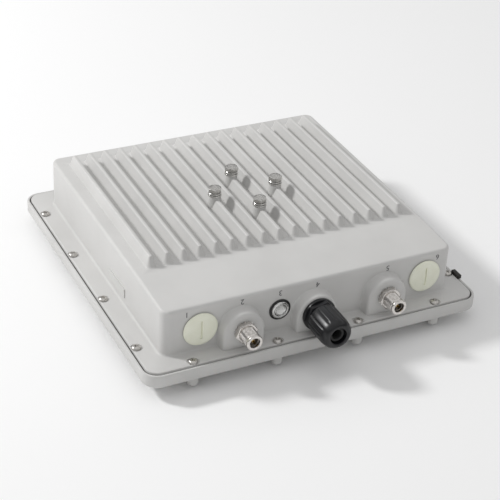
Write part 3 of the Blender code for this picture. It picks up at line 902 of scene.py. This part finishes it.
# ------------------------------------------------------------------ blanking plugs
def blank_plug(side, x, lean):
    face = Matrix.Translation((x, WALL_Y, PLUG_Z)) @ OUTWARD @ Matrix.Rotation(math.radians(lean), 4, "Z")
    dome = [(0.0010, 0.0041)]
    for k in range(1, 9):
        r = 0.0156 * k / 8
        dome.append((r, 0.0041 - 0.0010 * (r / 0.0156) ** 2))
    dome += [
        (0.0168, 0.0029), (0.0175, 0.0025), (0.0179, 0.0020), (0.0180, 0.0016), (0.0179, 0.0013),
        (0.0175, 0.00115),
    ]
    dome += [(0.0125, 0.0011)]
    z = 0.0008
    while z > -0.0076:
        dome += [(0.0125, z), (0.0119, z - 0.00075)]
        z -= 0.0015
    dome += [(0.0122, -0.0085), (0.0100, -0.0085), (0.0100, 0.0006), (0.0010, 0.0006)]
    piece = object_from(f"{side}_slotted_plug", turned_shape(list(reversed(dome)), 96), IVORY, 35.0)
    rows = []
    for half_w, half_l, z in ((0.0012, 0.0103, 0.0060), (0.0010, 0.0102, 0.0036), (0.0007, 0.0095, 0.0026)):
        rows.append([(half_l, half_w, z), (-half_l, half_w, z), (-half_l, -half_w, z), (half_l, -half_w, z)])
    slot_cut = lofted(rows)
    bmesh.ops.rotate(
        slot_cut, cent=(0, 0, 0), matrix=Matrix.Rotation(math.radians(90), 3, "Z"), verts=slot_cut.verts,
    )
    cut(piece, slot_cut)
    resharpened(piece, 35.0)
    place(piece, face)
    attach(piece, f"{side}_plug")
    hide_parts(f"{side}_blank_plug")
    section = [(0.01525 + 0.0015 * math.cos(a), 0.00045 + 0.00045 * math.sin(a)) for a in (2 * math.pi * k / 12 for k in range(12))]
    o_ring = object_from(f"{side}_plug_seal", turned_shape(list(reversed(section)), 64, True), SEAL, 60.0)
    place(o_ring, Matrix.Translation((x, WALL_Y - 0.0003, PLUG_Z)) @ OUTWARD)
    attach(o_ring, f"{side}_plug_ring")
    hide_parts(f"{side}_blank_plug_o_ring")


blank_plug("left", LEFT_PLUG_X, 0.0)
blank_plug("right", RIGHT_PLUG_X, 0.0)


# ------------------------------------------------------------------ reset button
def turned_piece(name, profile, finish, where, body, node, steps=72, closed=True, radius=0.00025):
    piece = object_from(
        name, turned_shape(rounded_profile(profile, radius, closed), steps, closed), finish, 35.0,
    )
    place(piece, where)
    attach(piece, body)
    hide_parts(node)
    return piece


reset_face = Matrix.Translation((RESET_X, WALL_Y, RESET_Z)) @ OUTWARD
turned_piece(
    "reset_bezel_ring",
    [
        (0.0076, 0.0030), (0.0088, 0.0028), (0.0093, 0.0021), (0.0093, 0.0016), (0.0080, 0.0016),
        (0.0080, -0.0180), (0.0030, -0.0180), (0.0030, -0.0165), (0.0066, -0.0165), (0.0066, 0.0026),
        (0.0070, 0.0030),
    ],
    BUTTON_STEEL, reset_face, "housing", "reset_bezel",
)
cap_profile = [
    (0.0005, -0.0145), (0.0024, -0.0145), (0.0024, -0.0050), (0.0063, -0.0050), (0.0063, 0.0020),
    (0.0058, 0.0026), (0.0052, 0.0026), (0.0046, 0.0021), (0.0005, 0.0020),
]
turned_piece(
    "reset_push_cap", cap_profile, BUTTON_STEEL, reset_face, "reset_cap", "reset_cap",
    closed=False,
)
turned_piece(
    "reset_gasket", [(0.0115, 0.0010), (0.0115, 0.0), (0.0083, 0.0), (0.0083, 0.0010)],
    SEAL, Matrix.Translation((RESET_X, WALL_Y - 0.0003, RESET_Z)) @ OUTWARD, "housing", "reset_seal",
)

# ------------------------------------------------------------------ cable gland
gland_face = Matrix.Translation((0, PAD_FACE, PORT_Z)) @ OUTWARD


def gland_body_piece():
    """Gland body: round collar against the pad, hexagon with chamfered corners, round tails drawn without
    threads.
    """
    profile = rounded_profile(
        [
            (0.0118, 0.0320), (0.0118, 0.0100), (0.0150, 0.0098), (0.0150, 0.0045), (0.0175, 0.0042),
            (0.0175, 0.0018), (0.0125, 0.0018), (0.0125, -0.0130), (0.0098, -0.0130), (0.0098, 0.0320),
        ],
        0.0004, True,
    )
    piece = object_from("gland_hex_body", turned_shape(profile, 96, True), GLAND, 30.0)
    hexa = hexagon_blank(0.0303, 0.0030, 0.0098)
    mesh = hexa.data
    shape = bmesh.new()
    shape.from_mesh(mesh)
    bpy.data.objects.remove(hexa)
    inner = rod(0.0110, (0, 0, -0.01), (0, 0, 0.02), 64)
    holder = object_from("hex_ring", shape, GLAND)
    cut(holder, inner)
    ring_shape = bmesh.new()
    ring_shape.from_mesh(holder.data)
    bpy.data.objects.remove(holder)
    cut(piece, ring_shape, "UNION")
    resharpened(piece, 30.0)
    return piece


piece = place(gland_body_piece(), gland_face @ Matrix.Rotation(math.radians(12), 4, "Z"))
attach(piece, "housing")
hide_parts("gland_body")


def dome_nut_shape(steps=168, ribs=12):
    """The dome nut: grip flats round its skirt fading into a rounded, narrowing nose."""
    outer = [
        (
            0.0156, 0.0103, 0.0,
        ), (0.0162, 0.0108, 0.4), (0.0166, 0.0125, 1.0), (0.0166, 0.0220, 1.0), (0.0165, 0.0330, 1.0),
        (
            0.0163, 0.0350, 0.8,
        ), (0.0161, 0.0368, 0.4), (0.0158, 0.0384, 0.0), (0.0154, 0.0398, 0.0), (0.0147, 0.0412, 0.0),
        (
            0.0138, 0.0424, 0.0,
        ), (0.0126, 0.0434, 0.0), (0.0112, 0.0439, 0.0), (0.0098, 0.0438, 0.0), (0.0089, 0.0432, 0.0),
    ]
    inner = [(0.0086, 0.0420, 0.0), (0.0086, 0.0402, 0.0), (0.0121, 0.0372, 0.0), (0.0121, 0.0103, 0.0)]
    rings = []
    for radius, z, grip in outer + inner:
        ring = []
        for i in range(steps):
            a = 2 * math.pi * i / steps
            wave = math.cos(ribs * a)
            r = radius - grip * 0.0009 * max(0.0, wave) ** 4
            ring.append((r * math.cos(a), r * math.sin(a), z))
        rings.append(ring)
    return lofted(rings, loop=True)


piece = place(object_from("gland_dome", dome_nut_shape(), GLAND, 35.0), gland_face)
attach(piece, "gland_dome_nut")
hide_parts("gland_dome_nut")

insert_profile = [
    (0.0082, 0.0398), (0.0066, 0.0405), (0.0052, 0.0398), (0.0048, 0.0380),
    (0.0048, 0.0120), (0.0094, 0.0120), (0.0094, 0.0350), (0.0084, 0.0365),
]
turned_piece(
    "gland_rubber_insert", list(reversed(insert_profile)), INSERT, gland_face, "gland_insert",
    "gland_insert", 64, True, 0.0005,
)
turned_piece(
    "gland_face_seal", [(0.0172, 0.0012), (0.0172, 0.0), (0.0128, 0.0), (0.0128, 0.0012)], SEAL,
    Matrix.Translation((0, PAD_FACE - 0.0003, PORT_Z)) @ OUTWARD, "housing", "gland_seal",
)


# ------------------------------------------------------------------ port numbers
NUMERAL_SIZE = 0.0085
NUMERAL_Z = 0.0722
NUMERAL_SHIFT = 0.0045


def numeral(text, x, z=NUMERAL_Z):
    """A printed number on the front wall, upside down because the unit lies on its face."""
    curve = bpy.data.curves.new(f"numeral_{text}", "FONT")
    curve.body = text
    curve.size = NUMERAL_SIZE
    curve.extrude = 0.00004
    curve.align_x = "CENTER"
    holder = bpy.data.objects.new(f"numeral_{text}", curve)
    bpy.context.scene.collection.objects.link(holder)
    bpy.context.view_layer.update()
    evaluated = holder.evaluated_get(bpy.context.evaluated_depsgraph_get())
    mesh = bpy.data.meshes.new_from_object(evaluated)
    bpy.data.objects.remove(holder)
    bpy.data.curves.remove(curve)
    mesh.materials.clear()
    mesh.materials.append(INK)
    piece = bpy.data.objects.new(f"port_number_{text}", mesh)
    bpy.context.scene.collection.objects.link(piece)
    upside_down = Matrix.Rotation(math.radians(180), 4, "Z")
    place(piece, Matrix.Translation((x, -WALL_HALF - 0.00006, z)) @ OUTWARD @ upside_down)
    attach(piece, "housing")


numeral("1", LEFT_PLUG_X - 0.0140, NUMERAL_Z + 0.0030)
numeral("2", -N_X + NUMERAL_SHIFT / 2, NUMERAL_Z + 0.0035)
numeral("3", RESET_X, NUMERAL_Z + 0.0035)
numeral("4", NUMERAL_SHIFT, NUMERAL_Z + 0.0035)
numeral("5", N_X + NUMERAL_SHIFT, NUMERAL_Z + 0.0035)
numeral("6", RIGHT_PLUG_X + 0.0140, NUMERAL_Z + 0.0030)

# ------------------------------------------------------------------ CAD nodes that keep their shape
for node, finish in {
    "cover_gasket": RUBBER, "reset_nut": CHROME_STEEL, "reset_spring": SPRING_STEEL, "gland_locknut": GLAND,
    "main_board": BOARD, "shield_can": TIN, "ethernet_jack": TIN, "antenna_panel": ANTENNA, "side_plate": PLATE,
}.items():
    for slot in frame["nodes"][node].material_slots:
        slot.material = finish


# ------------------------------------------------------------------ floor, light and camera
def stage():
    shape = bmesh.new()
    bmesh.ops.create_grid(shape, x_segments=2, y_segments=2, size=6.0)
    made, tree, shader = nodes_of("studio_floor")
    shader.inputs["Base Color"].default_value = (0.93, 0.93, 0.93, 1.0)
    shader.inputs["Roughness"].default_value = 0.9
    floor = object_from("floor", shape, made)
    floor.location.z = -0.0002


def area_light(name, location, target, size, power, colour=(1.0, 1.0, 1.0)):
    data = bpy.data.lights.new(name, "AREA")
    data.shape = "DISK"
    data.size = size
    data.energy = power
    data.color = colour
    lamp = bpy.data.objects.new(name, data)
    bpy.context.scene.collection.objects.link(lamp)
    lamp.location = location
    lamp.rotation_mode = "QUATERNION"
    lamp.rotation_quaternion = (Vector(target) - Vector(location)).to_track_quat("-Z", "Y")
    return lamp


def world(strength):
    """A pale room, brighter overhead and darker low down, so that polished metal shows contrast."""
    sky = bpy.data.worlds.new("studio")
    sky.use_nodes = True
    tree = sky.node_tree
    background = tree.nodes["Background"]
    background.inputs["Strength"].default_value = strength
    where = tree.nodes.new("ShaderNodeTexCoord")
    split = tree.nodes.new("ShaderNodeSeparateXYZ")
    tree.links.new(where.outputs["Generated"], split.inputs["Vector"])
    sky_ramp = ramp(tree, split.outputs["Z"], SKY_STOPS)
    tree.links.new(sky_ramp, background.inputs["Color"])
    bpy.context.scene.world = sky


SKY_STOPS = (
    (0.0, (0.75, 0.75, 0.75)), (0.15, (0.22, 0.22, 0.22)), (0.35, (0.30, 0.30, 0.30)),
    (0.55, (1.0, 1.0, 1.0)), (0.8, (0.55, 0.55, 0.55)), (1.0, (1.0, 1.0, 1.0)),
)


def camera():
    """The photograph's viewpoint: a long lens, from the front left and above."""
    data = bpy.data.cameras.new("camera")
    focal_px = 1451.31
    data.sensor_width = 36.0
    data.lens = focal_px * 36.0 / 500.0
    data.shift_x = (250.0 - 290.732) / 500.0
    data.shift_y = (244.701 - 250.0) / 500.0
    data.clip_start = 0.05
    data.clip_end = 30.0
    made = bpy.data.objects.new("camera", data)
    bpy.context.scene.collection.objects.link(made)
    right = Vector((0.89161952, -0.44933633, 0.0557808))
    up = Vector((0.19444956, 0.49124683, 0.84903823))
    back = Vector((-0.40890587, -0.74617251, 0.52537851))
    turn = Matrix((right, up, back)).transposed().to_4x4()
    made.matrix_world = Matrix.Translation((-0.59368, -1.19088, 0.83829 + 0.014)) @ turn
    bpy.context.scene.camera = made


WORLD_STRENGTH = 0.90
KEY_WATTS = 52.0
stage()
world(WORLD_STRENGTH)
LIGHT_RISE = math.radians(37)
LIGHT_HEADING = math.radians(-36)
LIGHT_TRAVEL = Vector((
    math.cos(LIGHT_HEADING) * math.cos(LIGHT_RISE), math.sin(LIGHT_HEADING) * math.cos(LIGHT_RISE), -math.sin(LIGHT_RISE),
))
area_light("key", tuple(Vector((0, 0, 0.08)) - LIGHT_TRAVEL * 3.0), (0, 0, 0.08), 0.45, KEY_WATTS)
camera()
bpy.context.scene.view_settings.view_transform = "Standard"
